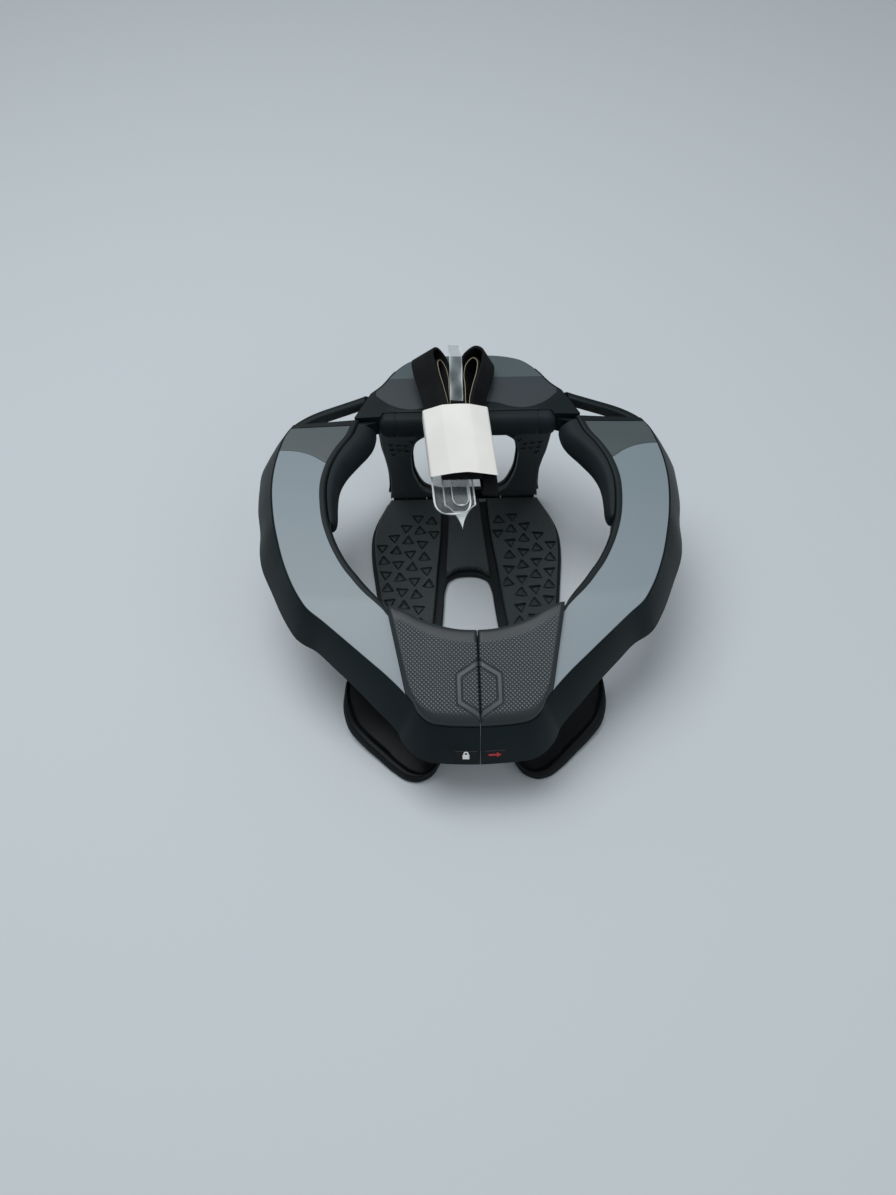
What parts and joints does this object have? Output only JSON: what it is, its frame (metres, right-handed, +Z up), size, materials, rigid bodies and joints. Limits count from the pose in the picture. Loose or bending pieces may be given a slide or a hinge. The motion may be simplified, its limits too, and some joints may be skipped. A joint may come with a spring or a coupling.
{
  "type": "neck brace with folded strap bundle",
  "caption": "Rigid padded neck collar that opens at the front on rear hinges, with a folding back strut, soft pads and folded harness straps.",
  "frame": {"origin": "on the floor, below the middle of the bounding box", "axes": "+Z up, -Y towards the chest side where the collar opens, +X to the right as seen from that side"},
  "size_m": [0.2934, 0.2838, 0.1523],
  "materials": {
    "black_shell": "fine matt moulded plastic",
    "light_grey": "satin grey plastic",
    "mid_grey": "satin dark grey plastic",
    "black_foam": "smooth closed-cell foam",
    "woven_pad": "knurled fabric skin over foam",
    "strut_foam": "moulded foam with triangular dimples",
    "webbing": "woven nylon webbing",
    "clear_plastic": "clear flexible plastic",
    "paper": "matt white paper",
    "label_plate": "flat black print plate",
    "steel": "plain steel pin"
  },
  "bodies": {
    "rear": {"rear_shell": "black_shell", "rear_panel_light": "light_grey", "rear_panel_mid": "mid_grey", "rear_bar_pad": "black_foam", "hinge_pin_right": "steel", "hinge_pin_left": "steel", "strut_upper": "black_shell", "strut_upper_pad_right": "strut_foam", "strut_upper_pad_left": "strut_foam", "strut_pin_right": "steel", "strut_pin_left": "steel", "paper_sleeve": "paper", "strap_loop_left": "webbing", "strap_loop_right": "webbing", "strap_end": "webbing", "clear_loop": "clear_plastic", "clear_tab": "clear_plastic", "clear_tab_inner": "clear_plastic", "clear_nib": "clear_plastic"},
    "arm_right": {"arm_shell_right": "black_shell", "side_panel_right": "light_grey", "side_panel_rear_right": "mid_grey", "bolster_right": "black_foam", "front_pad_right": "woven_pad", "chest_wing_right": "black_shell", "chest_pad_right": "black_foam", "label_right": "label_plate"},
    "arm_left": {"arm_shell_left": "black_shell", "side_panel_left": "light_grey", "side_panel_rear_left": "mid_grey", "bolster_left": "black_foam", "front_pad_left": "woven_pad", "chest_wing_left": "black_shell", "chest_pad_left": "black_foam", "label_left": "label_plate"},
    "strut": {"strut_lower": "black_shell", "strut_pad_right": "strut_foam", "strut_pad_left": "strut_foam", "strut_pad_centre": "strut_foam"}
  },
  "joints": [
    {"name": "arm_right_hinge", "type": "hinge", "parent": "rear", "child": "arm_right", "pos_m": [0.063, 0.10091, 0.12349], "axis": [0, -0.1287, 0.9917], "range_deg": [0, 25]},
    {"name": "arm_left_hinge", "type": "hinge", "parent": "rear", "child": "arm_left", "pos_m": [-0.063, 0.10091, 0.12349], "axis": [0, 0.1287, -0.9917], "range_deg": [0, 25]},
    {"name": "strut_fold", "type": "hinge", "parent": "rear", "child": "strut", "pos_m": [0, 0.11091, 0.0055], "axis": [1, 0, 0], "range_deg": [0, 80]}
  ]
}
